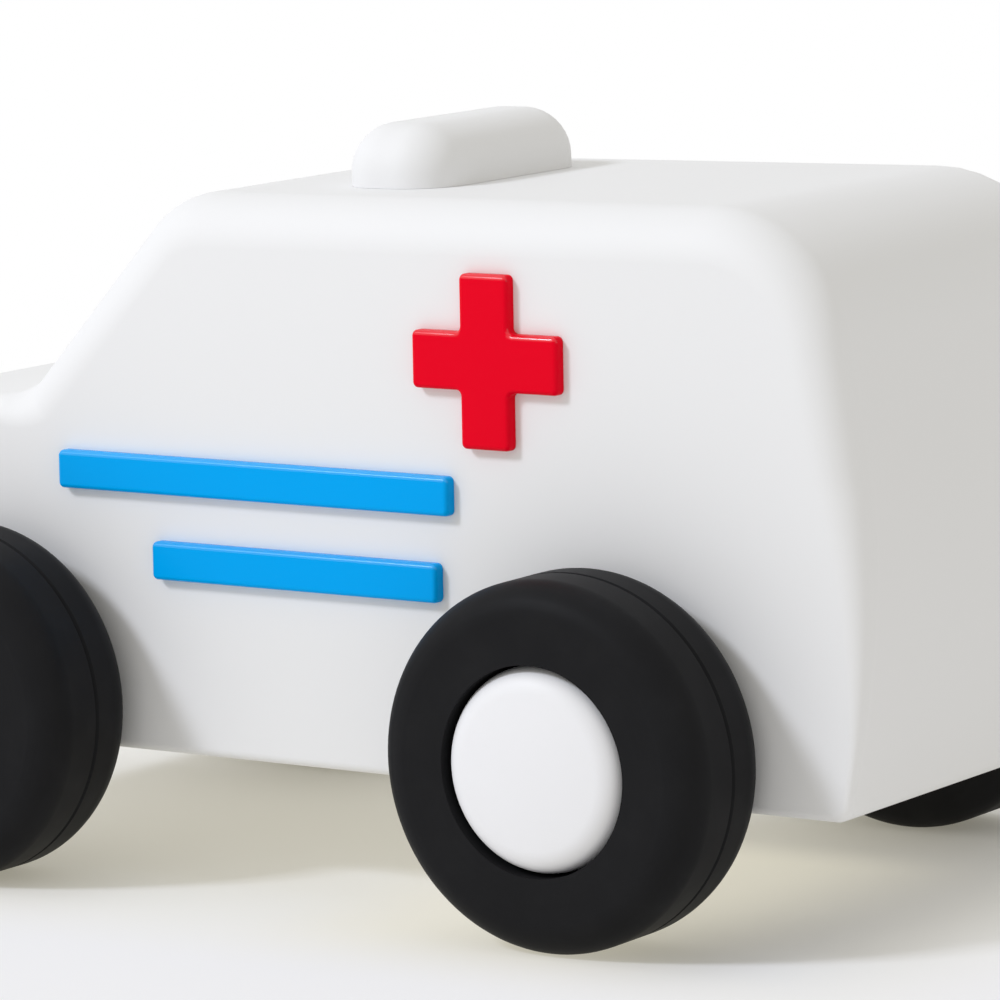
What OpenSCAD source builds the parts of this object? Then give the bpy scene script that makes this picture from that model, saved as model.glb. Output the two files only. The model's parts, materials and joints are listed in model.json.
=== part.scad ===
// Toy ambulance: a soft-edged moulded shell on a screwed base plate, with raised
// badges, a roof light and four free-rolling wheels on two steel axles.
// Millimetres. +X is forward, +Y is the left side, +Z is up. The origin is on the
// ground, under the middle of the body.

/* [Running gear] */
// Diameter of a wheel over its tread
wheel_d = 38; // [34:0.5:42]
// Width of a wheel between its outer and inner faces
wheel_w = 14.8; // [13.4:0.1:15.6]
// Width of the outer half of a wheel, from its face to the seam
outer_half_w = 7.6; // [7.2:0.1:8.2]
// Radius of the outer shoulder of a wheel
face_round = 3.6; // [2.5:0.1:5]
// Radius of the inner shoulder of a wheel
back_round = 4.2; // [2:0.1:4.4]
// Diameter of the recess that holds a hub cap
recess_d = 21.6; // [19:0.1:23]
// Depth of that recess below the face of the wheel
recess_depth = 4.6; // [4:0.1:5]
// Height of a hub cap's crown above the face of the wheel
cap_proud = 1.1; // [0.6:0.1:1.6]
// Edge radius of a hub cap
cap_round = 3; // [2:0.1:3.6]
// Diameter of the steel axles
axle_d = 3; // [2.6:0.1:3.4]
// Distance between the axles
wheelbase = 79; // [74:0.5:86]
// Width over the outer faces of a pair of wheels
track = 85.4; // [80:0.2:92]

/* [Body] */
// Rear axle to the rearmost point of the body
rear_overhang = 29.8; // [27:0.2:36]
// Front axle to the foremost point of the body
front_overhang = 29.8; // [27:0.2:36]
// Gap between a wheel and the bottom edge of the side, at mid length
side_gap = 0.8; // [0.8:0.1:3]
// Height of the bottom edge above the ground
bottom_h = 13.5; // [12:0.1:14.5]
// Height of the roof at mid length
roof_h = 73.4; // [68:0.2:80]
// Height of the bonnet at the foot of the windscreen
bonnet_h = 50.9; // [48:0.1:53]
// Length of the bonnet from the nose to the foot of the windscreen
bonnet_len = 31.4; // [28:0.1:33]
// Height of the rearmost point of the bulged rear face
rear_waist_h = 33; // [31:0.5:36]
// Height of the foremost point of the bulged nose
nose_waist_h = 29; // [27:0.5:31]
// Thickness of the moulded wall
wall = 3.2; // [2.8:0.1:3.6]

/* [Body angles] */
// Lean of the windscreen from the horizontal
screen_angle = 47; // [42:1:52]
// Forward lean of the rear face above its waist
rear_lean = 10.4; // [7:0.2:13]
// Tuck of the rear face below its waist
rear_tuck = 8.7; // [6:0.1:10]
// Backward lean of the nose above its waist
nose_lean = 8; // [6:0.2:11]
// Tuck of the nose below its waist
nose_tuck = 8; // [6:0.1:10]
// Fall of the roof towards the front
roof_fall = 0.6; // [0:0.1:1.5]
// Fall of the bonnet towards the nose
bonnet_fall = 5; // [3:0.1:6]
// Narrowing of each side towards the nose
side_taper = 0.8; // [0.2:0.1:1.2]
// Lean of each side towards the roof
side_draft = 0.9; // [0.2:0.1:1.5]

/* [Body rounding] */
// Bulge radius of the rear face
rear_bulge_r = 85; // [70:1:95]
// Bulge radius of the nose
nose_bulge_r = 70; // [60:1:80]
// Radius between the roof and the rear face
roof_rear_r = 16; // [12:0.5:18]
// Radius between the roof and the windscreen
roof_front_r = 11.5; // [9:0.5:16]
// Hollow radius between the windscreen and the bonnet
cowl_r = 5; // [3:0.5:8]
// Radius between the bonnet and the nose
nose_top_r = 8; // [6:0.5:10]
// Radius of the bottom corners of the rear face and of the nose
bottom_corner_r = 2; // [1.8:0.1:2.4]
// Edge radius between the sides and the roof, and between the sides and the windscreen
roof_edge_r = 5.5; // [4:0.1:7]
// Edge radius between the sides and the bonnet
bonnet_edge_r = 3; // [2:0.1:4]
// Edge radius between the sides and the ends, above their bulge
end_edge_r = 4.6; // [4:0.1:6]
// Edge radius between the sides and the bottom, and at the foot of the ends
bottom_edge_r = 1; // [0.8:0.1:1.6]

/* [Roof light] */
// Distance of each end of the roof light from the side of the body
light_inset = 12.2; // [9:0.2:14]
// Width of the roof light along the car
light_w = 13.2; // [12.2:0.2:17]
// Height of the roof light above the roof
light_h = 6.6; // [5.8:0.1:9]
// Edge radius around the top of the roof light
light_round = 5.2; // [3:0.1:5.3]
// Radius of the upright corners of the roof light
light_corner_r = 5.4; // [5.4:0.1:6]
// Middle of the roof light ahead of mid length
light_x = -4.2; // [-10:0.2:-2]

/* [Badges] */
// Width and height of the cross
cross_size = 18; // [14:0.2:20]
// Width of an arm of the cross
cross_arm = 6; // [4.8:0.1:7]
// Middle of the cross behind mid length
cross_back = 25.2; // [22:0.2:28]
// Height of the middle of the cross
cross_h = 57.6; // [56:0.2:59]
// Height of a stripe
stripe_w = 4.1; // [3.4:0.1:5]
// Length of the upper stripe
upper_len = 51; // [40:0.5:54]
// Height of the middle of the upper stripe
upper_h = 43.5; // [42.5:0.1:44.5]
// Rear end of the upper stripe behind mid length
upper_back = 20.4; // [18:0.2:22]
// Length of the lower stripe
lower_len = 37; // [28:0.5:40]
// Height of the middle of the lower stripe
lower_h = 34.4; // [33.4:0.1:35.4]
// Rear end of the lower stripe behind mid length
lower_back = 18.8; // [17:0.2:21]
// Thickness of the cross and the stripes
badge_t = 1.3; // [0.9:0.1:1.8]
// Edge radius of the cross and the stripes
badge_round = 0.5; // [0.3:0.05:0.6]

/* [Base plate] */
// Thickness of the base plate
plate_t = 2.7; // [2.4:0.1:3]
// How far the base plate stands below the bottom edge of the sides
plate_proud = 0.3; // [0:0.1:0.6]
// Width of the rim of the shell around the base plate
rim_w = 2.4; // [2.2:0.1:2.6]
// Length of an axle bearing along the axle
bearing_len = 6; // [4:0.5:8]
// Wall of an axle bearing around the axle
bearing_wall = 2.6; // [2:0.1:3]

/* [Screws] */
// Diameter of the shank of a base screw
screw_d = 2.4; // [2:0.1:2.8]
// Diameter of the head of a base screw
screw_head_d = 4.6; // [4:0.1:5]
// Height of the head of a base screw
screw_head_h = 1.4; // [1.1:0.1:1.5]
// Length of a base screw under its head
screw_len = 9; // [7:0.5:11]
// Screws ahead of and behind the axles
screw_reach = 17.5; // [16:0.5:19]
// Distance of the screws from the side of the body
screw_inset = 11; // [9:0.5:13]

/* [Hidden] */
// Radial clearance of a turning axle in its bearings
run_gap = 0.06;
// Radial clearance of a pressed or pegged piece
press_gap = 0.02;
// Clearance of pieces that only lie near each other
free_gap = 0.4;
// Gap under a badge, under the roof light and between the halves of a wheel
glue_gap = 0.02;
// End play of a wheel against its bearing
end_play = 0.2;
// Overrun of every cut
overrun = 2;
// Wall of the wheel halves, and of the webs inside them
wheel_wall = 2.4;
// Width and depth of the chamfer on each side of the wheel seam
seam_chamfer = 0.3;
// Reach of the register lip of a wheel across the seam
lip_len = 1.5;
// Thickness of that lip
lip_t = 1.2;
// Radius of the hub inside a wheel
hub_r = 5;
// Radius of the hub where it reaches in to the bearing
hub_neck_r = 2.6;
// Radius and length of the stem of a hub cap
cap_stem_r = 3.4;
cap_stem_len = 1.6;
// Radial gap between a hub cap and its recess
cap_gap = 0.25;
// Radius of the crown of a hub cap
cap_crown_r = 60;
// Reach of the axle into a hub cap
axle_reach = 0.6;
// Chamfer at each end of an axle
axle_chamfer = 0.4;
// Smallest corner and edge radius inside the shell
inside_r = 0.8;
// Corner radius of the base plate
plate_corner_r = 3;
// Thickness and height of the ribs on the base plate
rib_t = 1.6;
rib_h = 4;
// Places of the two ribs across the base plate
rib_share = 0.3;
// Gap between the end of a rib and an axle bearing
rib_gap = 3;
// Wall of a screw boss around the screw
boss_wall = 2;
// Depth of the screw hole past the end of the screw
hole_spare = 1.5;
// Width and depth of the cross drive in a screw head
drive_w = 0.7;
drive_depth = 0.7;
// Radius and length of the pegs of the badges, and the spare depth of their holes
peg_r = 1;
peg_len = 2.2;
peg_spare = 0.15;
// Radius of the pegs of the roof light
light_peg_r = 1.6;
// Corner radius of the badges, seen from the side
badge_corner_r = 0.6;
// Places of the badge pegs along a stripe and along the cross
stripe_peg_share = 0.36;
cross_peg_share = 0.34;

// Steps around a corner of the shell, along its bulged ends, and across its edges
corner_steps = 9;
bulge_steps = 14;
edge_steps = 8;
// Steps around the small radii of the badges and of the roof light
badge_steps = 4;
light_steps = 10;
// Steps around the crown of a hub cap
crown_steps = 720;
$fn = 96;

white = [0.91, 0.91, 0.91];
cap_white = [0.93, 0.93, 0.94];
black = [0.09, 0.09, 0.10];
red = [0.84, 0.01, 0.08];
blue = [0.0, 0.48, 0.86];
steel = [0.70, 0.71, 0.73];
screw_grey = [0.45, 0.46, 0.48];

wheel_r = wheel_d / 2;
recess_r = recess_d / 2;
axle_r = axle_d / 2;
inner_half_w = wheel_w - outer_half_w;
body_w = track - 2 * (wheel_w + side_gap);
light_len = body_w - 2 * light_inset;
light_peg_span = light_len - light_w;
screw_span = body_w - 2 * screw_inset;
rib_span = rib_share * body_w;
hub_bore_r = axle_r + press_gap;
body_len = rear_overhang + wheelbase + front_overhang;
rear_x = -body_len / 2;
nose_x = body_len / 2;
rear_axle_x = rear_x + rear_overhang;
front_axle_x = nose_x - front_overhang;
plate_low = bottom_h - plate_proud;
plate_top = plate_low + plate_t;
tower_y = half_w(front_axle_x, wheel_r) - wall - free_gap;
tower_r = axle_r + bearing_wall;
neck_len = track / 2 - wheel_w - tower_y - end_play;
axle_len = track - 2 * recess_depth + 2 * axle_reach;
boss_r = screw_d / 2 + boss_wall;

ends = ["front", "rear"];
sides = ["left", "right"];

// Half width of the shell: each side is one plane that narrows to the nose and the roof
function half_w(x, z) =
    body_w / 2 - x * tan(side_taper) - (z - bottom_h) * tan(side_draft);

// Height of the roof at a place along the car
function roof_z(x) = roof_h - x * tan(roof_fall);

// Plane geometry
function unit(v) = v / norm(v);
function right_of(v) = [v[1], -v[0]];
function turned(v, a) = [v[0] * cos(a) - v[1] * sin(a), v[0] * sin(a) + v[1] * cos(a)];
function turn_angle(u, v) = atan2(u[0] * v[1] - u[1] * v[0], u * v);

// Where the line from p at angle a meets the line from q at angle b
function meet(p, a, q, b) =
    let (u = [cos(a), sin(a)], v = [cos(b), sin(b)], d = q - p)
    p + u * (d[0] * v[1] - d[1] * v[0]) / (u[0] * v[1] - u[1] * v[0]);

// An anticlockwise outline with rounded corners. A corner is [x, y, radius, steps] and may
// add the edge radii before and after it. Each point comes back as
// [x, y, normal x, normal y, edge radius].
function rounded(corners) =
    let (n = len(corners))
    [for (i = [0:n - 1])
        let (
            p = corner_at(corners, i),
            u = unit(p - corner_at(corners, i - 1)),
            v = unit(corner_at(corners, i + 1) - p),
            a = turn_angle(u, v),
            r = corners[i][2] * sign(a),
            start = p - u * corners[i][2] * tan(abs(a) / 2),
            centre = start - right_of(u) * r
        )
        for (j = [0:corners[i][3]])
            let (m = right_of(turned(u, a * j / corners[i][3])))
            [centre[0] + m[0] * r, centre[1] + m[1] * r, m[0], m[1],
             edge_r(corners[i], j / corners[i][3])]];
function edge_r(c, share) = (len(c) > 4) ? c[4] + (c[5] - c[4]) * share : 0;
function corner_at(corners, i) =
    let (c = corners[(i + len(corners)) % len(corners)]) [c[0], c[1]];

// The corner of a bulged end: two lines that lean by up and down meet there, and an
// arc of radius r between them reaches as far as x, at the height h
function waist(x, h, up, down, r) =
    let (half = (up + down) / 2, skew = (down - up) / 2, reach = r / cos(half))
    [x + r - reach * cos(skew), h - reach * sin(skew)];

// Side outline of the shell, with upright as the angle of a line straight up
upright = 90;
rear_waist = waist(rear_x, rear_waist_h, rear_lean, rear_tuck, rear_bulge_r);
nose_back = waist(-nose_x, nose_waist_h, nose_lean, nose_tuck, nose_bulge_r);
nose_waist = [-nose_back[0], nose_back[1]];
cowl = [nose_x - bonnet_len, bonnet_h];
floor_line = [0, bottom_h];
roof_line = [0, roof_h];
rear_low = meet(rear_waist, rear_tuck - upright, floor_line, 0);
nose_low = meet(nose_waist, -upright - nose_tuck, floor_line, 0);
nose_top = meet(nose_waist, upright + nose_lean, cowl, -bonnet_fall);
roof_front = meet(cowl, 2 * upright - screen_angle, roof_line, -roof_fall);
roof_rear = meet(rear_waist, upright - rear_lean, roof_line, -roof_fall);
shell_corners = [
    concat(rear_low, [bottom_corner_r, corner_steps, bottom_edge_r, bottom_edge_r]),
    concat(nose_low, [bottom_corner_r, corner_steps, bottom_edge_r, bottom_edge_r]),
    concat(nose_waist, [nose_bulge_r, bulge_steps, bottom_edge_r, end_edge_r]),
    concat(nose_top, [nose_top_r, corner_steps, end_edge_r, bonnet_edge_r]),
    concat(cowl, [cowl_r, corner_steps, bonnet_edge_r, roof_edge_r]),
    concat(roof_front, [roof_front_r, corner_steps, roof_edge_r, roof_edge_r]),
    concat(roof_rear, [roof_rear_r, corner_steps, roof_edge_r, end_edge_r]),
    concat(rear_waist, [rear_bulge_r, bulge_steps, end_edge_r, bottom_edge_r])
];

// The same outline one wall further in, but open through the bottom
function moved_in(corners, i) =
    let (
        p = corner_at(corners, i),
        u = unit(p - corner_at(corners, i - 1)),
        v = unit(corner_at(corners, i + 1) - p),
        before = (i == 1) ? -overrun : wall,
        after = (i == 0) ? -overrun : wall,
        k = u * v,
        a = (before - k * after) / (1 - k * k),
        b = (after - k * before) / (1 - k * k),
        r = corners[i][2] - wall * sign(turn_angle(u, v)),
        q = p - right_of(u) * a - right_of(v) * b
    )
    concat(q, [max(r, inside_r), ceil(corner_steps / 2)],
        [for (k = [4, 5]) max(corners[i][k] - wall, inside_r)]);
cavity_corners = [for (i = [0:len(shell_corners) - 1]) moved_in(shell_corners, i)];

// A soft box: rings of the side outline from one side plane to the other, drawn in along
// the edge radius that belongs to each point
module soft_box(corners, skin, steps) {
    outline = rounded(corners);
    n = len(outline);
    rings = 2 * steps + 2;
    points = [for (k = [0:rings - 1])
        let (
            side = (k <= steps) ? -1 : 1,
            a = (k <= steps) ? 90 * (1 - k / steps) : 90 * (k - steps - 1) / steps
        )
        for (p = outline)
            let (
                draw = p[4] * (1 - cos(a)),
                x = p[0] - p[2] * draw,
                z = p[1] - p[3] * draw
            )
            [x, side * (half_w(x, z) - skin - p[4] * (1 - sin(a))), z]];
    walls = [for (k = [0:rings - 2], i = [0:n - 1])
        let (j = (i + 1) % n)
        [k * n + i, k * n + j, (k + 1) * n + j, (k + 1) * n + i]];
    right_cap = [for (i = [0:n - 1]) n - 1 - i];
    left_cap = [for (i = [0:n - 1]) (rings - 1) * n + i];
    polyhedron(points, concat(walls, [right_cap], [left_cap]));
}

// A raised plate with a rounded rim: the outline rises square and then draws in
module pillow(corners, height, round_r, steps) {
    outline = rounded(corners);
    n = len(outline);
    levels = concat([[0, 0]],
        [for (k = [0:steps])
            let (a = 90 * k / steps)
            [round_r * (1 - cos(a)), height - round_r * (1 - sin(a))]]);
    rims = [for (l = levels, p = outline)
        [p[0] - p[2] * l[0], p[1] - p[3] * l[0], l[1]]];
    walls = [for (k = [0:len(levels) - 2], i = [0:n - 1])
        let (j = (i + 1) % n)
        [k * n + i, (k + 1) * n + i, (k + 1) * n + j, k * n + j]];
    middle = len(rims);
    top = middle - n;
    low_cap = [for (i = [0:n - 1]) [i, (i + 1) % n, middle]];
    top_cap = [for (i = [0:n - 1]) [top + (i + 1) % n, top + i, middle + 1]];
    polyhedron(concat(rims, [[0, 0, 0], [0, 0, height]]), concat(walls, low_cap, top_cap));
}

function box_corners(l, w, r, steps) =
    [[-l / 2, -w / 2, r, steps], [l / 2, -w / 2, r, steps],
     [l / 2, w / 2, r, steps], [-l / 2, w / 2, r, steps]];

function cross_corners(size, arm, r, steps) =
    let (s = size / 2, a = arm / 2)
    [for (q = [0:3], c = [[s, -a], [s, a], [a, a]])
        let (p = turned(c, 90 * q)) [p[0], p[1], r, steps]];

// Places: on the plane of the left side at x and z, on the roof, and at a wheel
module on_left_side(x, z) {
    lean = atan(tan(side_draft) * cos(side_taper));
    translate([x, half_w(x, z), z])
        rotate([0, 0, -side_taper])
        rotate([lean, 0, 0])
        rotate([90, 0, 180])
        children();
}

module on_side(side) {
    if (side == "left") children();
    else mirror([0, 1, 0]) children();
}

module on_roof(x) {
    translate([x, 0, roof_z(x)])
        rotate([0, roof_fall, 0])
        rotate([0, 0, 90])
        children();
}

// Local +Z points out of the wheel, and the seam between its halves is at zero
module at_wheel(axle_x, side) {
    on_side(side)
        translate([axle_x, track / 2 - outer_half_w, wheel_r])
        rotate([-90, 0, 0])
        children();
}

function axle_x(end) = (end == "front") ? front_axle_x : rear_axle_x;

// A square section with one rounded outer corner, for the halves of a wheel
module rounded_section(r, h, round_r) {
    intersection() {
        square([r, h]);
        union() {
            square([r - round_r, h]);
            square([r, h - round_r]);
            translate([r - round_r, h - round_r]) circle(round_r);
        }
    }
}

// A section with a crowned top and an outer corner that runs smoothly into the crown
module crowned_section(r, h, round_r, crown_r) {
    crown_y = h - crown_r;
    corner_x = r - round_r;
    corner_y = crown_y + sqrt(pow(crown_r - round_r, 2) - pow(corner_x, 2));
    intersection() {
        square([r, h]);
        union() {
            square([r, corner_y]);
            translate([corner_x, corner_y]) circle(round_r);
            intersection() {
                translate([0, crown_y]) circle(crown_r, $fn = crown_steps);
                polygon([
                    [0, crown_y],
                    [2 * corner_x, 2 * corner_y - crown_y],
                    [0, 2 * corner_y - crown_y]
                ]);
            }
        }
    }
}

module seam_cut() {
    polygon([
        [wheel_r - seam_chamfer, 0],
        [wheel_r + seam_chamfer, 2 * seam_chamfer],
        [wheel_r + seam_chamfer, -2 * seam_chamfer]
    ]);
}

// The outer half of a wheel: a cup with the recess for the hub cap in its face
module wheel_outer() {
    web_top = outer_half_w - recess_depth;
    color(black) rotate_extrude() difference() {
        rounded_section(wheel_r, outer_half_w, face_round);
        translate([0, web_top]) square([recess_r, recess_depth + overrun]);
        translate([0, web_top - cap_stem_len - end_play])
            square([cap_stem_r + press_gap, recess_depth + overrun]);
        translate([0, -overrun]) square([hub_bore_r, outer_half_w + overrun]);
        translate([hub_r, -overrun])
            square([wheel_r - wheel_wall - hub_r, web_top - wheel_wall + overrun]);
        translate([recess_r + wheel_wall, -overrun])
            square([wheel_r - 2 * wheel_wall - recess_r, outer_half_w - wheel_wall + overrun]);
        seam_cut();
    }
}

// The inner half: a cup with a lip that registers in the outer half, on a hub whose neck
// reaches in to the axle bearing
module wheel_inner() {
    bore = wheel_r - wheel_wall - lip_t;
    color(black) rotate_extrude() {
        difference() {
            mirror([0, 1]) translate([0, glue_gap])
                rounded_section(wheel_r, inner_half_w - glue_gap, back_round);
            translate([hub_r, wheel_wall - inner_half_w]) square([bore - hub_r, inner_half_w]);
            translate([0, -inner_half_w - overrun]) square([hub_bore_r, wheel_w]);
            seam_cut();
        }
        translate([bore, -wheel_wall / 2]) square([lip_t - press_gap, lip_len + wheel_wall / 2]);
        translate([hub_bore_r, -inner_half_w - neck_len])
            square([hub_neck_r - hub_bore_r, neck_len + wheel_wall / 2]);
    }
}

// A domed cap that fills the recess and closes over the end of the axle
module hub_cap() {
    cap_r = recess_r - cap_gap;
    cap_h = recess_depth + cap_proud;
    color(cap_white)
        translate([0, 0, outer_half_w - recess_depth])
        rotate_extrude() difference() {
            union() {
                crowned_section(cap_r, cap_h, cap_round, cap_crown_r);
                translate([0, -cap_stem_len]) square([cap_stem_r, cap_stem_len]);
            }
            translate([0, -cap_stem_len - overrun])
                square([hub_bore_r, cap_stem_len + overrun + axle_reach + end_play]);
        }
}

// A plain steel pin with chamfered ends, along Y
module axle() {
    color(steel) rotate([90, 0, 0]) rotate_extrude() polygon([
        [0, -axle_len / 2],
        [axle_r - axle_chamfer, -axle_len / 2],
        [axle_r, axle_chamfer - axle_len / 2],
        [axle_r, axle_len / 2 - axle_chamfer],
        [axle_r - axle_chamfer, axle_len / 2],
        [0, axle_len / 2]
    ]);
}

// Centres of the base screws
screw_places = [for (x = [front_axle_x + screw_reach, rear_axle_x - screw_reach], s = [-1, 1])
    [x, s * screw_span / 2]];

module plate_outline(grow) {
    back = rear_low[0] + rim_w - grow;
    front = nose_low[0] - rim_w + grow;
    back_w = half_w(back, bottom_h) - rim_w + grow;
    front_w = half_w(front, bottom_h) - rim_w + grow;
    corners = [
        [back, -back_w, plate_corner_r + grow, corner_steps],
        [front, -front_w, plate_corner_r + grow, corner_steps],
        [front, front_w, plate_corner_r + grow, corner_steps],
        [back, back_w, plate_corner_r + grow, corner_steps]
    ];
    polygon([for (p = rounded(corners)) [p[0], p[1]]]);
}

// Pegs of the badges, standing in from the plane of the side
module badge_pegs(places, r, length) {
    for (p = places) translate([p[0], p[1], -length]) cylinder(r = r, h = length + badge_round);
}

cross_pegs = [for (s = [-1, 1]) [0, s * cross_peg_share * cross_size]];
function stripe_pegs(l) = [for (s = [-1, 1]) [s * stripe_peg_share * l, 0]];

module at_cross() {
    on_left_side(-cross_back, cross_h) children();
}

module at_upper_stripe() {
    on_left_side(upper_len / 2 - upper_back, upper_h) children();
}

module at_lower_stripe() {
    on_left_side(lower_len / 2 - lower_back, lower_h) children();
}

// The moulded shell: a soft box with a drawn-in cowl and bulged ends, hollow, with screw
// bosses that hang from its top, and slots for the hubs that the wheels hide
module body_shell() {
    hole_r = peg_r + press_gap;
    hole_depth = peg_len + peg_spare;
    slot_r = hub_neck_r + free_gap;
    color(white) difference() {
        soft_box(shell_corners, 0, edge_steps);
        difference() {
            soft_box(cavity_corners, wall, ceil(edge_steps / 2));
            for (p = screw_places)
                translate([p[0], p[1], plate_top]) cylinder(r = boss_r, h = roof_h);
        }
        translate([0, 0, bottom_h - overrun])
            linear_extrude(plate_top - bottom_h + overrun) plate_outline(press_gap);
        for (p = screw_places)
            translate([p[0], p[1], plate_top - overrun])
                cylinder(d = screw_d + 2 * press_gap, h = screw_len + hole_spare + overrun);
        for (e = ends) translate([axle_x(e), 0, wheel_r]) {
            rotate([90, 0, 0]) cylinder(r = slot_r, h = track, center = true);
            translate([-slot_r, -track / 2, -wheel_r]) cube([2 * slot_r, track, wheel_r]);
        }
        for (s = sides) on_side(s) {
            at_cross() badge_pegs(cross_pegs, hole_r, hole_depth);
            at_upper_stripe() badge_pegs(stripe_pegs(upper_len), hole_r, hole_depth);
            at_lower_stripe() badge_pegs(stripe_pegs(lower_len), hole_r, hole_depth);
        }
        on_roof(light_x) light_pegs(light_peg_r + press_gap, wall + overrun);
    }
}

// The base plate closes the shell and carries the axles in closed bearings
module base_plate() {
    rib_len = wheelbase - 2 * (tower_r + rib_gap);
    color(white) difference() {
        union() {
            translate([0, 0, plate_low]) linear_extrude(plate_t) plate_outline(0);
            for (e = ends, s = [-1, 1])
                translate([axle_x(e), s * (tower_y - bearing_len / 2), wheel_r]) {
                    rotate([90, 0, 0]) cylinder(r = tower_r, h = bearing_len, center = true);
                    translate([-tower_r, -bearing_len / 2, plate_top - plate_t / 2 - wheel_r])
                        cube([2 * tower_r, bearing_len, wheel_r - plate_top + plate_t / 2]);
                }
            for (s = [-1, 1])
                translate([(front_axle_x + rear_axle_x - rib_len) / 2, (s * rib_span - rib_t) / 2, plate_top])
                    cube([rib_len, rib_t, rib_h]);
        }
        for (e = ends)
            translate([axle_x(e), 0, wheel_r]) rotate([90, 0, 0])
                cylinder(r = axle_r + run_gap, h = track, center = true);
        for (p = screw_places) translate([p[0], p[1], plate_low - overrun]) {
            cylinder(d = screw_d + 2 * free_gap, h = plate_t + 2 * overrun);
            cylinder(d = screw_head_d + 2 * free_gap, h = screw_head_h + overrun);
        }
    }
}

// Four screws, heads level with the underside of the base plate
module base_screws() {
    color(screw_grey) for (p = screw_places) translate([p[0], p[1], plate_low]) difference() {
        union() {
            cylinder(d = screw_head_d, h = screw_head_h);
            cylinder(d = screw_d, h = screw_head_h + screw_len);
        }
        for (a = [0, 90]) rotate([0, 0, a])
            translate([-screw_d / 2, -drive_w / 2, -overrun])
                cube([screw_d, drive_w, overrun + drive_depth]);
    }
}

module light_pegs(r, length) {
    for (s = [-1, 1]) translate([s * light_peg_span / 2, 0, -length])
        cylinder(r = r, h = length + glue_gap + light_h / 2);
}

// A plain loaf across the roof, on two pegs
module roof_light() {
    corners = box_corners(light_len, light_w, light_corner_r, light_steps);
    color(white) on_roof(light_x) {
        translate([0, 0, glue_gap]) pillow(corners, light_h, light_round, light_steps);
        light_pegs(light_peg_r, wall);
    }
}

module cross_badge() {
    corners = cross_corners(cross_size, cross_arm, badge_corner_r, badge_steps);
    color(red) at_cross() {
        translate([0, 0, glue_gap]) pillow(corners, badge_t, badge_round, badge_steps);
        badge_pegs(cross_pegs, peg_r, peg_len);
    }
}

module stripe_badge(l) {
    corners = box_corners(l, stripe_w, badge_corner_r, badge_steps);
    color(blue) {
        translate([0, 0, glue_gap]) pillow(corners, badge_t, badge_round, badge_steps);
        badge_pegs(stripe_pegs(l), peg_r, peg_len);
    }
}

module upper_stripe() {
    at_upper_stripe() stripe_badge(upper_len);
}

module lower_stripe() {
    at_lower_stripe() stripe_badge(lower_len);
}

body_shell();
base_plate();
base_screws();
roof_light();
for (s = sides) {
    on_side(s) cross_badge();
    on_side(s) upper_stripe();
    on_side(s) lower_stripe();
}
for (e = ends)
    translate([axle_x(e), 0, wheel_r]) axle();
for (e = ends, s = sides) {
    name = str(e, "_", s);
    at_wheel(axle_x(e), s) wheel_outer();
    at_wheel(axle_x(e), s) wheel_inner();
    at_wheel(axle_x(e), s) hub_cap();
}
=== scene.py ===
"""Looks of a toy ambulance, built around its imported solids.

The moulded pieces get smooth skins that are taken from the solids, every piece gets a
procedural finish, and a pale studio shows the car at the angle of the photograph.
Lengths are in metres. +X is forward, +Y is the car's left side, +Z is up.
"""

import json
import logging
import math
from dataclasses import dataclass, field, replace
from enum import Enum
from typing import Any

import bmesh
import bpy
from mathutils import Matrix, Vector


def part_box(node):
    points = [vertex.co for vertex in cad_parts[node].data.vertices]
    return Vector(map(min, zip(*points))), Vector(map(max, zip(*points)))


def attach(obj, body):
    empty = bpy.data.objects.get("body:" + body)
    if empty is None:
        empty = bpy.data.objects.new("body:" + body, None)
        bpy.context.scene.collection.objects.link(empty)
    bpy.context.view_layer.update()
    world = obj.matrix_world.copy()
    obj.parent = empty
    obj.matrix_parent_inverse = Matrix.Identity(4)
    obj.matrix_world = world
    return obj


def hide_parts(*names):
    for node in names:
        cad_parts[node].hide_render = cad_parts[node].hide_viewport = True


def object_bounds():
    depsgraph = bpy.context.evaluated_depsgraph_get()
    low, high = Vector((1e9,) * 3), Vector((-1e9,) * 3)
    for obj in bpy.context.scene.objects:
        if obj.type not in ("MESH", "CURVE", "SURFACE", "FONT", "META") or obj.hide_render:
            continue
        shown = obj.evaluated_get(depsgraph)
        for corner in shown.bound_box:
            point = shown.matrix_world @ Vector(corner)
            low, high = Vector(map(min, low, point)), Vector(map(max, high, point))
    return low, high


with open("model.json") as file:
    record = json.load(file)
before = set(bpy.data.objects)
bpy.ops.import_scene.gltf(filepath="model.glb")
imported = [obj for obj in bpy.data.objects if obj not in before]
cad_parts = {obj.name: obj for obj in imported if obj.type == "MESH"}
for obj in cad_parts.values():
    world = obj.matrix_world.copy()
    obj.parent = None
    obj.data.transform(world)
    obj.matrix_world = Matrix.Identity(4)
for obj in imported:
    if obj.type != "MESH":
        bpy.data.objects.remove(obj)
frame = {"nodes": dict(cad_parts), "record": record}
CAD_BOX = [list(corner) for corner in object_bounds()]
MM = 0.001

log = logging.getLogger("toy_ambulance")

Colour = tuple[float, float, float]
Span = tuple[float, float]

PLAIN_WHITE: Colour = (1.0, 1.0, 1.0)

# Attribute that marks the upper rims of the badges
RIM = "rim"

# Sockets of a Mix node that mixes colours
MIX_SHARE, MIX_LOW, MIX_HIGH, MIX_RESULT = 0, 6, 7, 2


class Side(Enum):
    """The two sides of the car."""

    LEFT = "left"
    RIGHT = "right"


class End(Enum):
    """The two ends of the car, each with an axle."""

    FRONT = "front"
    REAR = "rear"


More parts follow.
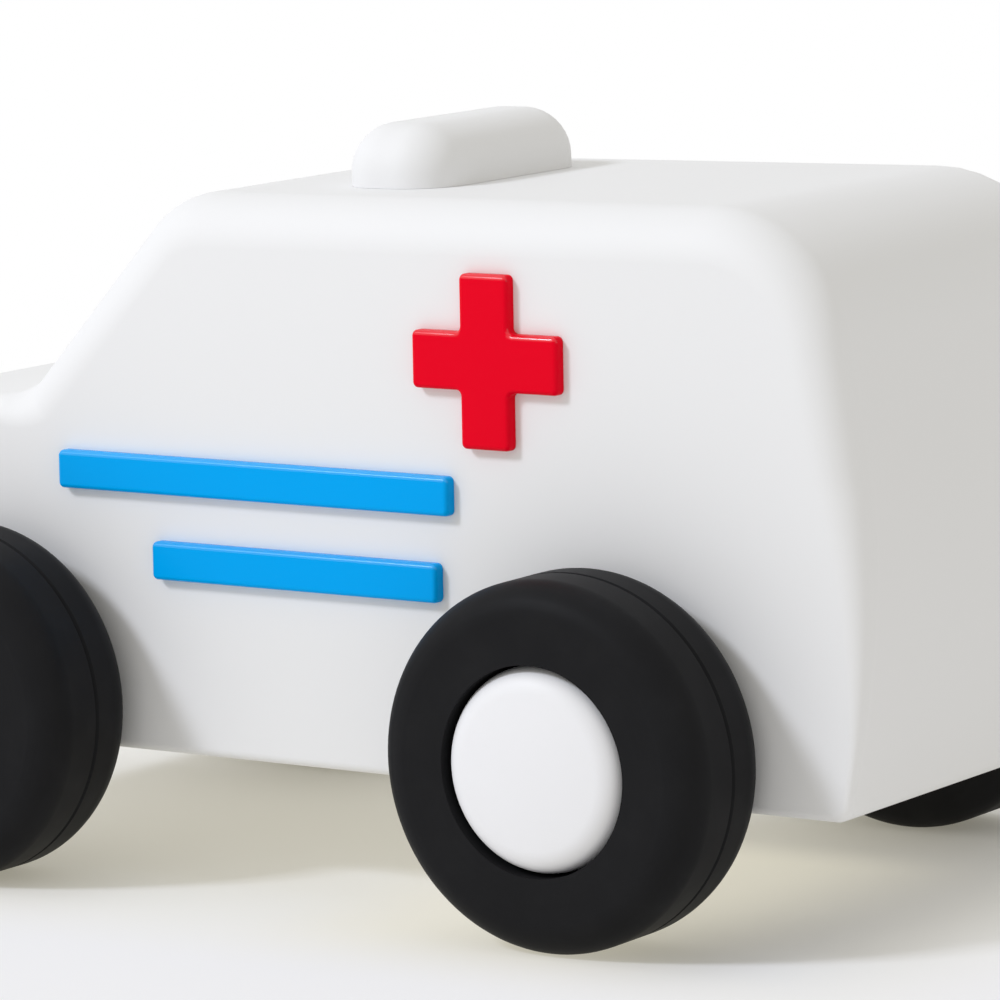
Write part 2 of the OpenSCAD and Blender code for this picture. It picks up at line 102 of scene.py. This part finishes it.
class Slot(Enum):
    """The finishes that the record names."""

    WHITE = "white_plastic"
    CAP = "cap_plastic"
    RED = "red_plastic"
    BLUE = "blue_plastic"
    BLACK = "black_plastic"
    AXLE = "axle_steel"
    SCREW = "screw_steel"


class Wire:
    """An output socket that takes part in Python expressions."""

    def __init__(self, sheet: "NodeSheet", socket: bpy.types.NodeSocket) -> None:
        """Keep the socket and the sheet that it belongs to."""
        self.sheet = sheet
        self.socket = socket

    def __add__(self, other: "Wire | float") -> "Wire":
        """Sum of two values."""
        return self.sheet.maths("ADD", self, other)

    def __radd__(self, other: float) -> "Wire":
        """Sum with a number on the left."""
        return self.sheet.maths("ADD", other, self)

    def __sub__(self, other: "Wire | float") -> "Wire":
        """Difference of two values."""
        return self.sheet.maths("SUBTRACT", self, other)

    def __rsub__(self, other: float) -> "Wire":
        """Difference from a number on the left."""
        return self.sheet.maths("SUBTRACT", other, self)

    def __mul__(self, other: "Wire | float") -> "Wire":
        """Product of two values."""
        return self.sheet.maths("MULTIPLY", self, other)

    def __rmul__(self, other: float) -> "Wire":
        """Product with a number on the left."""
        return self.sheet.maths("MULTIPLY", other, self)

    def __pow__(self, other: "Wire | float") -> "Wire":
        """Power of a value."""
        return self.sheet.maths("POWER", self, other)

    def sine(self) -> "Wire":
        """Sine of a value in radians."""
        return self.sheet.maths("SINE", self)


class NodeSheet:
    """A node tree that is filled by expressions and by one node-making method."""

    def __init__(self, tree: bpy.types.NodeTree) -> None:
        """Start the tree empty.

        Args:
            tree: The node tree of a material or of the world.
        """
        self.tree = tree
        self.tree.nodes.clear()

    def node(
        self,
        kind: str,
        settings: dict[str, Any] | None = None,
        values: dict[str | int, Any] | None = None,
        output: str | int = 0,
    ) -> Wire:
        """Add one node.

        Args:
            kind: The node's type.
            settings: Its settings, which are set first.
            values: A number, a colour or a wire for each named or numbered socket.
            output: The output to hand on.

        Returns:
            The chosen output, or the node's first input where it has no output.
        """
        made = self.tree.nodes.new(kind)
        for name, value in (settings or {}).items():
            setattr(made, name, value)
        for name, value in (values or {}).items():
            if isinstance(value, Wire):
                self.tree.links.new(value.socket, made.inputs[name])
            else:
                made.inputs[name].default_value = value
        return Wire(self, made.outputs[output] if made.outputs else made.inputs[0])

    def maths(self, operation: str, *values: "Wire | float") -> Wire:
        """Add a Math node on the values.

        Args:
            operation: The Math node's operation.
            values: One or two wires or numbers.

        Returns:
            The result.
        """
        return self.node("ShaderNodeMath", {"operation": operation}, dict(enumerate(values)))

    def mixed(self, share: Wire, low: "Colour | Wire", high: "Colour | Wire") -> Wire:
        """Mix two colours by a share that varies.

        Args:
            share: 0 for the first colour, 1 for the second.
            low: The first colour.
            high: The second colour.

        Returns:
            The mixed colour.
        """
        settings = {"data_type": "RGBA", "clamp_factor": True}
        first, second = (end if isinstance(end, Wire) else (*end, 1.0) for end in (low, high))
        ends = {MIX_SHARE: share, MIX_LOW: first, MIX_HIGH: second}
        return self.node("ShaderNodeMix", settings, ends, MIX_RESULT)

    def attribute(self, name: str) -> Wire:
        """Value of a piece's own attribute.

        Args:
            name: Name of the attribute.

        Returns:
            The value.
        """
        return self.node("ShaderNodeAttribute", {"attribute_name": name}, None, "Fac")

    def rise(self, value: Wire, start: float, end: float, low: float = 0.0, high: float = 1.0) -> Wire:
        """Rise smoothly from one value to another.

        Args:
            value: What the rise follows.
            start: Where it starts.
            end: Where it ends.
            low: The value before the start.
            high: The value past the end.

        Returns:
            The risen value.
        """
        return self.node(
            "ShaderNodeMapRange",
            {"interpolation_type": "SMOOTHSTEP"},
            {"Value": value, "From Min": start, "From Max": end, "To Min": low, "To Max": high},
        )

    def place(self, centre: Vector = Vector(), stretch: Vector = Vector((1.0, 1.0, 1.0))) -> Wire:
        """Object coordinates, centred on a piece and stretched.

        Args:
            centre: The point that becomes the origin.
            stretch: Factor along each axis.

        Returns:
            The coordinates.
        """
        own = self.node("ShaderNodeTexCoord", output="Object")
        shift = [-c * s for c, s in zip(centre, stretch)]
        return self.node("ShaderNodeMapping", None, {"Vector": own, "Location": shift, "Scale": stretch})

    def noise(self, place: Wire, size: float, detail: float = 2.0) -> Wire:
        """Soft noise between 0 and 1.

        Args:
            place: The coordinates.
            size: Length of one blot in metres.
            detail: Octaves of finer noise.

        Returns:
            The noise.
        """
        return self.node("ShaderNodeTexNoise", None, {"Vector": place, "Scale": 1.0 / size, "Detail": detail})

    def bump(self, height: Wire, depth: float) -> Wire:
        """Turn a height between 0 and 1 into a normal.

        Args:
            height: The height.
            depth: Height in metres at 1.

        Returns:
            The normal.
        """
        return self.node("ShaderNodeBump", None, {"Height": height, "Distance": depth}, "Normal")

    def along(self, place: Wire, axes: str) -> list[Wire]:
        """Split coordinates.

        Args:
            place: The coordinates.
            axes: Letters of the axes to hand on.

        Returns:
            The value along each of these axes.
        """
        return [self.node("ShaderNodeSeparateXYZ", None, {"Vector": place}, axis) for axis in axes]

    def radius(self, axle: Vector) -> Wire:
        """Distance from the line of an axle, which runs along Y.

        Args:
            axle: A point on that line.

        Returns:
            The distance in metres.
        """
        ahead, above = self.along(self.place(axle), "XZ")
        return (ahead * ahead + above * above) ** 0.5

    def surface(self, values: dict[str, Any]) -> None:
        """Add the surface shader and the material's output.

        Args:
            values: Values or wires of the shader's sockets.
        """
        shader = self.node("ShaderNodeBsdfPrincipled", None, values)
        self.node("ShaderNodeOutputMaterial", None, {"Surface": shader})


def new_sheet(name: str) -> tuple[bpy.types.Material, NodeSheet]:
    """Make a material with an empty sheet.

    Args:
        name: Name of the material.

    Returns:
        The material and its sheet.
    """
    material = bpy.data.materials.new(name)
    material.use_nodes = True
    return material, NodeSheet(material.node_tree)


def darker(colour: Colour, share: float) -> Colour:
    """The same colour, darker by a share."""
    return tuple(part * (1.0 - share) for part in colour)


@dataclass(frozen=True)
class MouldedPlastic:
    """Moulded plastic: an even tone with faint flow marks, a fine grain and handling marks.

    Attributes:
        name: Name of the material.
        colour: Colour of the plastic.
        roughness: Roughness between handling marks.
        flow: Share by which flow marks darken the colour.
        flow_size: Size of a flow mark.
        rubbed: Roughness that handling adds in blots.
        rub_size: Size of such a blot.
        grain: Size of the surface grain.
        grain_depth: Depth of the grain.
        shine: Level of the mirror reflection.
        rim_gloss: Weight of the gloss on the upper rims of a badge.
        rim_roughness: Roughness of that gloss.
    """

    name: str
    colour: Colour
    roughness: float
    flow: float = 0.015
    flow_size: float = 22 * MM
    rubbed: float = 0.06
    rub_size: float = 9 * MM
    grain: float = 0.35 * MM
    grain_depth: float = 0.004 * MM
    shine: float = 0.4
    rim_gloss: float = 0.0
    rim_roughness: float = 0.2

    def material(self) -> bpy.types.Material:
        """Make the material.

        Returns:
            The material.
        """
        material, sheet = new_sheet(self.name)
        place = sheet.place()
        tone = sheet.mixed(sheet.noise(place, self.flow_size), darker(self.colour, self.flow), self.colour)
        rough = self.roughness + self.rubbed * sheet.noise(place, self.rub_size)
        sheet.surface({
            "Base Color": tone,
            "Roughness": rough,
            "Specular IOR Level": self.shine,
            "Coat Weight": self.rim_gloss * sheet.attribute(RIM) if self.rim_gloss else 0.0,
            "Coat Roughness": self.rim_roughness,
            "Normal": sheet.bump(sheet.noise(place, self.grain), self.grain_depth),
        })
        return material


@dataclass(frozen=True)
class TurnedPlastic:
    """Plastic of the wheels and hub caps, with faint rings about the axle.

    Attributes:
        name: Name of the material.
        colour: Colour of the plastic.
        roughness: Roughness between scuffs.
        pitch: Distance between two rings.
        ring_depth: Height of a ring.
        scuffed: Roughness that scuffs take away.
        scuff_colour: Colour of the scuffs.
        shine: Level of the mirror reflection.
        scuff_size: Size of a scuff.
        scuff_detail: Octaves of finer noise in the scuffs.
        scuff_power: Power that makes the scuffs rarer.
        grain: Size of the surface grain.
        ring_share: Share of the rings in the surface's height. The grain has the rest.
    """

    name: str
    colour: Colour
    roughness: float
    pitch: float
    ring_depth: float
    scuffed: float
    scuff_colour: Colour
    shine: float
    scuff_size: float = 5 * MM
    scuff_detail: float = 4.0
    scuff_power: float = 3.0
    grain: float = 0.3 * MM
    ring_share: float = 0.7

    def material(self, end: End, axle: Vector) -> bpy.types.Material:
        """Make the material for the wheels of one axle.

        Args:
            end: The end that the axle is at.
            axle: A point on the axle's line.

        Returns:
            The material.
        """
        material, sheet = new_sheet(f"{end.value}_{self.name}")
        place = sheet.place()
        scuff = sheet.noise(place, self.scuff_size, self.scuff_detail) ** self.scuff_power
        rings = 0.5 + 0.5 * (sheet.radius(axle) * (math.tau / self.pitch)).sine()
        grain = sheet.noise(place, self.grain)
        height = self.ring_share * rings + (1.0 - self.ring_share) * grain
        sheet.surface({
            "Base Color": sheet.mixed(scuff, self.colour, self.scuff_colour),
            "Roughness": self.roughness - self.scuffed * scuff,
            "Specular IOR Level": self.shine,
            "Normal": sheet.bump(height, self.ring_depth),
        })
        return material


@dataclass(frozen=True)
class DrawnSteel:
    """Steel with fine lines along Y.

    Attributes:
        name: Name of the material.
        colour: Colour of the metal.
        roughness: Roughness between the lines.
        line: Width of a line.
        run: How much longer than wide a line is.
        lined: Roughness that the lines add.
        dulled: Share by which the lines darken the colour.
        depth: Depth of a line.
    """

    name: str
    colour: Colour
    roughness: float
    line: float = 0.15 * MM
    run: float = 40.0
    lined: float = 0.15
    dulled: float = 0.12
    depth: float = 0.003 * MM

    def material(self) -> bpy.types.Material:
        """Make the material.

        Returns:
            The material.
        """
        material, sheet = new_sheet(self.name)
        lines = sheet.noise(sheet.place(stretch=Vector((1.0, 1.0 / self.run, 1.0))), self.line)
        sheet.surface({
            "Base Color": sheet.mixed(lines, darker(self.colour, self.dulled), self.colour),
            "Metallic": 1.0,
            "Roughness": self.roughness + self.lined * lines,
            "Normal": sheet.bump(lines, self.depth),
        })
        return material


WHITE = MouldedPlastic(Slot.WHITE.value, (0.84, 0.84, 0.845), 0.58, shine=0.25)
RED = MouldedPlastic(
    Slot.RED.value, (0.84, 0.0, 0.016), 0.2, flow=0.05, grain_depth=0.002 * MM,
    shine=0.045, rim_gloss=1.0,
)
BLUE = replace(RED, name=Slot.BLUE.value, colour=(0.0, 0.39, 0.92))
BLACK = TurnedPlastic(
    Slot.BLACK.value, (0.012, 0.012, 0.013), 0.5, pitch=0.9 * MM, ring_depth=0.006 * MM,
    scuffed=0.10, scuff_colour=(0.02, 0.02, 0.021), shine=0.05,
)
CAP = TurnedPlastic(
    Slot.CAP.value, (0.85, 0.85, 0.87), 0.46, pitch=1.1 * MM, ring_depth=0.002 * MM,
    scuffed=0.08, scuff_colour=(0.82, 0.82, 0.835), shine=0.3,
)
AXLE_STEEL = DrawnSteel(Slot.AXLE.value, (0.62, 0.63, 0.65), 0.25)
SCREW_STEEL = DrawnSteel(Slot.SCREW.value, (0.42, 0.43, 0.45), 0.38, run=1.0)


@dataclass
class Skinner:
    """Makes smooth skins of moulded pieces and dresses pieces that stay as they are.

    Attributes:
        weld: Distance within which points of a solid's mesh are one.
        crease: Edges that turn by more than this stay sharp.
        rim_tilts: Least and most that the faces of a badge's rim turn away from the car's side.
        rim_rise: Least that such a face looks upward.
    """

    weld: float = 0.001 * MM
    crease: float = math.radians(28.0)
    rim_tilts: Span = (math.radians(5.0), math.radians(70.0))
    rim_rise: float = 0.15

    def skin(self, node: str, material: bpy.types.Material) -> bpy.types.Object:
        """Put a smooth skin in the place of a solid.

        Args:
            node: Name of the solid.
            material: Material of the skin.

        Returns:
            The skin.
        """
        shape = bmesh.new()
        shape.from_mesh(frame["nodes"][node].data)
        bmesh.ops.remove_doubles(shape, verts=shape.verts, dist=self.weld)
        mesh = bpy.data.meshes.new(f"{node}_skin")
        shape.to_mesh(mesh)
        shape.free()
        for stale in [a.name for a in mesh.attributes if a.name == "custom_normal"]:
            mesh.attributes.remove(mesh.attributes[stale])
        mesh.shade_smooth()
        mesh.set_sharp_from_angle(angle=self.crease)
        mesh.materials.clear()
        mesh.materials.append(material)
        piece = bpy.data.objects.new(mesh.name, mesh)
        bpy.context.scene.collection.objects.link(piece)
        even = piece.modifiers.new("even_shading", "WEIGHTED_NORMAL")
        even.keep_sharp = True
        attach(piece, body_of(node))
        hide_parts(node)
        log.info("%s: skin of %d faces", piece.name, len(mesh.polygons))
        return piece

    def mark_rims(self, piece: bpy.types.Object) -> None:
        """Mark the faces of a badge's rounded upper rims.

        Args:
            piece: The badge's skin.
        """
        least, most = self.rim_tilts
        marks = piece.data.attributes.new(RIM, "FLOAT", "FACE")
        for face, mark in zip(piece.data.polygons, marks.data):
            rounded = math.cos(most) < abs(face.normal.y) < math.cos(least)
            mark.value = float(rounded and face.normal.z > self.rim_rise)

    def dress(self, node: str, material: bpy.types.Material) -> None:
        """Give a solid that stays its finish.

        Args:
            node: Name of the solid.
            material: Its material.
        """
        solid = frame["nodes"][node]
        solid.data.materials.clear()
        solid.data.materials.append(material)
        log.info("%s: dressed with %s", node, material.name)


def body_of(node: str) -> str:
    """Name of the body that a solid belongs to.

    Args:
        node: Name of the solid.

    Returns:
        Name of the body.
    """
    bodies = frame["record"]["behaviour"]["bodies"]
    return next(body for body, nodes in bodies.items() if node in nodes)


def middle(node: str) -> Vector:
    """Middle of a solid's box."""
    low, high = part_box(node)
    return (low + high) / 2


@dataclass
class MouldedBody:
    """The white mouldings: shell, roof light and base plate, with the base screws.

    Attributes:
        skinned: The solids that get a skin.
        screws: The solid that stays.
    """

    skinned: tuple[str, ...] = ("body_shell", "roof_light", "base_plate")
    screws: str = "base_screws"

    def build(self, skinner: Skinner) -> None:
        """Skin the mouldings and dress the screws.

        Args:
            skinner: Makes the skins.
        """
        white = WHITE.material()
        for node in self.skinned:
            skinner.skin(node, white)
        skinner.dress(self.screws, SCREW_STEEL.material())


@dataclass
class SideBadges:
    """The raised cross and stripes of both sides.

    Attributes:
        cross: End of a cross's name.
        stripes: Ends of the stripes' names.
    """

    cross: str = "cross"
    stripes: tuple[str, ...] = ("upper_stripe", "lower_stripe")

    def build(self, skinner: Skinner) -> None:
        """Skin the badges of both sides.

        Args:
            skinner: Makes the skins.
        """
        red = RED.material()
        blue = BLUE.material()
        for side in Side:
            skinner.mark_rims(skinner.skin(f"{side.value}_{self.cross}", red))
            for stripe in self.stripes:
                skinner.mark_rims(skinner.skin(f"{side.value}_{stripe}", blue))


@dataclass
class Wheelset:
    """An axle with its two wheels and hub caps.

    Attributes:
        end: The end of the car that it is at.
        halves: Ends of the names of a wheel's two halves.
        cap: End of a hub cap's name.
    """

    end: End
    halves: tuple[str, ...] = ("wheel_outer", "wheel_inner")
    cap: str = "hub_cap"

    def build(self, skinner: Skinner) -> None:
        """Skin the wheels and caps and dress the axle.

        Args:
            skinner: Makes the skins.
        """
        pin = f"{self.end.value}_axle"
        line = middle(pin)
        black = BLACK.material(self.end, line)
        white = CAP.material(self.end, line)
        for side in Side:
            wheel = f"{self.end.value}_{side.value}"
            for half in self.halves:
                skinner.skin(f"{wheel}_{half}", black)
            skinner.skin(f"{wheel}_{self.cap}", white)
        skinner.dress(pin, AXLE_STEEL.material())


@dataclass
class PhotoCamera:
    """The camera of the photograph, fitted to the outlines of the wheels.

    Attributes:
        turn: Angle from the left side's normal towards the rear.
        rise: Angle above the ground.
        roll: Turn of the picture about its middle.
        frame_px: Width and height of the picture in pixels.
        focal_px: Focal length in pixels.
        anchor_px: Where the picture shows the middle of the rear left wheel's face.
        scale_px: Pixels to a metre at that point.
        sensor: Width of the sensor in millimetres.
    """

    turn: float = math.radians(34.097)
    rise: float = math.radians(8.373)
    roll: float = math.radians(-1.556)
    frame_px: float = 1000.0
    focal_px: float = 6195.9
    anchor_px: tuple[float, float] = (530.563, 772.99)
    scale_px: float = 10073.0
    sensor: float = 36.0

    def build(self) -> None:
        """Make the camera and hand it to the scene."""
        back = Vector((
            -math.sin(self.turn) * math.cos(self.rise),
            math.cos(self.turn) * math.cos(self.rise),
            math.sin(self.rise),
        ))
        level = back.cross(Vector((0.0, 0.0, 1.0))).normalized() * -1.0
        upright = back.cross(level)
        right = math.cos(self.roll) * level + math.sin(self.roll) * upright
        up = math.cos(self.roll) * upright - math.sin(self.roll) * level
        low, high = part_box("rear_left_wheel_outer")
        anchor = Vector(((low.x + high.x) / 2, high.y, (low.z + high.z) / 2))
        depth = self.focal_px / self.scale_px
        half = self.frame_px / 2
        across = (self.anchor_px[0] - half) / self.focal_px * depth
        above = (half - self.anchor_px[1]) / self.focal_px * depth
        data = bpy.data.cameras.new("photo_camera")
        data.sensor_width = self.sensor
        data.lens = self.focal_px * self.sensor / self.frame_px
        camera = bpy.data.objects.new("photo_camera", data)
        turn = Matrix((right, up, back)).transposed().to_4x4()
        spot = anchor - across * right - above * up + depth * back
        camera.matrix_world = Matrix.Translation(spot) @ turn
        bpy.context.scene.collection.objects.link(camera)
        bpy.context.scene.camera = camera
        log.info("camera at %s", tuple(round(part, 4) for part in spot))


@dataclass(frozen=True)
class Lamp:
    """A soft square lamp that looks at the car.

    Attributes:
        name: Name of the lamp.
        spot: Where it stands.
        width: Width of the lamp.
        power: Power in watts.
        colour: Colour of its light.
    """

    name: str
    spot: tuple[float, float, float]
    width: float
    power: float
    colour: Colour = (0.945, 0.99, 1.10)

    def build(self, target: Vector) -> None:
        """Make the lamp.

        Args:
            target: The point that it looks at.
        """
        data = bpy.data.lights.new(self.name, "AREA")
        data.energy = self.power
        data.size = self.width
        data.color = self.colour
        lamp = bpy.data.objects.new(self.name, data)
        lamp.location = self.spot
        lamp.rotation_euler = (target - Vector(self.spot)).to_track_quat("-Z", "Y").to_euler()
        bpy.context.scene.collection.objects.link(lamp)


@dataclass
class Studio:
    """A white floor that fades into a white room, with soft lamps. Near the car the floor glows: painted
    light in its shadows.

    Attributes:
        floor_colour: Colour of the floor in the light that it throws back.
        seen_colour: Colour of the floor as it is seen.
        painted_fill_colour: Colour of the glow that fills the floor's shadows near the car, painted light
            that warms them and also lights the car from below.
        painted_fill_beside_colour: Colour of that painted glow beside the car.
        painted_fill_under: Share of that painted glow under the car.
        painted_fill_behind: Share of that painted glow behind the rear axle, which leaves a darker painted
            shadow there.
        painted_light_gap: Share of painted light that is added in a band in between the rear wheels, as light
            falling in there.
        painted_fill_beside: Share of that painted glow beside the car.
        painted_fill_rise: Places along the car between which the painted glow's share rises from
            painted_fill_behind to painted_fill_under.
        painted_light_gap_rise: Places along the car between which the share of that painted light band rises.
        painted_light_gap_fall: Places along the car between which it falls again.
        painted_light_gap_side: Places across the car between which it rises, from the right.
        beside_span: Distances from the car's middle line over which under turns into beside.
        beyond_span: Distances along the car over which it does so too.
        fade_span: Distances from the car's middle over which the floor fades to white.
        floor_half: Half the floor's width.
        floor_cells: Cells of the floor's mesh along each edge.
        room_colour: Colour of the room's light.
        room_light: Strength of the room's light.
        lamps: The lamps.
    """

    floor_colour: Colour = (0.95, 0.947, 0.94)
    seen_colour: Colour = (0.92, 0.928, 0.962)
    painted_fill_colour: Colour = (0.86, 0.815, 0.66)
    painted_fill_beside_colour: Colour = (0.86, 0.85, 0.85)
    painted_fill_under: float = 0.35
    painted_fill_behind: float = 0.10
    painted_light_gap: float = 0.28
    painted_fill_beside: float = 0.55
    painted_fill_rise: Span = (-0.060, -0.024)
    painted_light_gap_rise: Span = (-0.062, -0.040)
    painted_light_gap_fall: Span = (-0.022, 0.0)
    painted_light_gap_side: Span = (-0.020, -0.008)
    beside_span: Span = (0.034, 0.060)
    beyond_span: Span = (0.060, 0.090)
    fade_span: Span = (0.13, 0.45)
    floor_half: float = 4.0
    floor_cells: int = 2
    room_colour: Colour = (1.0, 0.976, 0.91)
    room_light: float = 0.628
    lamps: list[Lamp] = field(default_factory=lambda: [
        Lamp("key", (0.60, 0.83, 0.86), width=0.24, power=7.2),
        Lamp("top", (0.10, -0.10, 1.10), width=0.5, power=0.9),
    ])

    def build(self) -> None:
        """Make the floor, the room and the lamps."""
        self.lay_floor()
        self.light_room()
        for lamp in self.lamps:
            lamp.build(Vector((0.0, 0.0, CAD_BOX[1][2] / 2)))

    def lay_floor(self) -> None:
        """Lay the floor under the wheels."""
        shape = bmesh.new()
        cells = {"x_segments": self.floor_cells, "y_segments": self.floor_cells}
        bmesh.ops.create_grid(shape, **cells, size=self.floor_half)
        mesh = bpy.data.meshes.new("floor")
        shape.to_mesh(mesh)
        shape.free()
        mesh.materials.append(self.floor_material())
        floor = bpy.data.objects.new("floor", mesh)
        bpy.context.scene.collection.objects.link(floor)

    def floor_material(self) -> bpy.types.Material:
        """Make the floor's material: matt with a painted glow near the car, plain white further off.

        Returns:
            The material.
        """
        material, sheet = new_sheet("floor_paper")
        place = sheet.place()
        far = sheet.node("ShaderNodeVectorMath", {"operation": "LENGTH"}, {0: place}, "Value")
        fade = sheet.rise(far, *self.fade_span)
        seen = seen_straight(sheet)
        paper = sheet.mixed(seen, self.floor_colour, self.seen_colour)
        matt = sheet.node("ShaderNodeBsdfDiffuse", None, {"Color": paper})
        ahead, across = sheet.along(place, "XY")
        beside = sheet.rise(sheet.maths("ABSOLUTE", across), *self.beside_span)
        beyond = sheet.rise(sheet.maths("ABSOLUTE", ahead), *self.beyond_span)
        clear = sheet.maths("MAXIMUM", beside, beyond)
        # Painted light: the floor's glow, warm under the car and neutral beside it, fills the floor's
        # shadows.
        near_painted_fill = sheet.mixed(clear, self.painted_fill_colour, self.painted_fill_beside_colour)
        glow = sheet.mixed(fade, near_painted_fill, PLAIN_WHITE)
        # The glow is emission, so it is seen and also lights the car from below like a lamp.
        white = sheet.node("ShaderNodeEmission", None, {"Color": glow, "Strength": 1.0})
        # Painted shade: less glow behind the rear axle, so the floor's shadow there stays darker.
        even = sheet.rise(ahead, *self.painted_fill_rise, self.painted_fill_behind, self.painted_fill_under)
        # Painted light: a band of extra glow in between the rear wheels, as if light fell in there.
        gap = sheet.rise(ahead, *self.painted_light_gap_rise) - sheet.rise(ahead, *self.painted_light_gap_fall)
        under = even + gap * sheet.rise(across, *self.painted_light_gap_side) * self.painted_light_gap
        near_share = under + (self.painted_fill_beside - under) * clear
        share = near_share + (1.0 - near_share) * fade * seen
        both = sheet.node("ShaderNodeMixShader", None, {0: share, 1: matt, 2: white})
        sheet.node("ShaderNodeOutputMaterial", None, {"Surface": both})
        return material

    def light_room(self) -> None:
        """Make the room: soft light on the car, white where it is seen."""
        world = bpy.data.worlds.new("room")
        bpy.context.scene.world = world
        world.use_nodes = True
        sheet = NodeSheet(world.node_tree)
        soft, white = (
            sheet.node("ShaderNodeBackground", None, {"Color": (*colour, 1.0), "Strength": strength})
            for colour, strength in ((self.room_colour, self.room_light), (PLAIN_WHITE, 1.0))
        )
        both = sheet.node("ShaderNodeMixShader", None, {0: seen_straight(sheet), 1: soft, 2: white})
        sheet.node("ShaderNodeOutputWorld", None, {"Surface": both})


def seen_straight(sheet: NodeSheet) -> Wire:
    """1 where the camera sees a surface, straight or in a mirror or through glass.

    Args:
        sheet: The sheet to add to.

    Returns:
        The mask.
    """
    rays = ("Is Camera Ray", "Is Glossy Ray", "Is Transmission Ray")
    straight, mirrored, through = (sheet.node("ShaderNodeLightPath", output=ray) for ray in rays)
    return sheet.maths("MAXIMUM", sheet.maths("MAXIMUM", straight, mirrored), through)


def main() -> None:
    """Build the camera, the car and the studio."""
    logging.basicConfig(level=logging.INFO, format="%(message)s")
    bpy.context.scene.view_settings.view_transform = "Standard"
    PhotoCamera().build()
    skinner = Skinner()
    MouldedBody().build(skinner)
    SideBadges().build(skinner)
    for end in End:
        Wheelset(end).build(skinner)
    Studio().build()


if __name__ == "__main__":
    main()
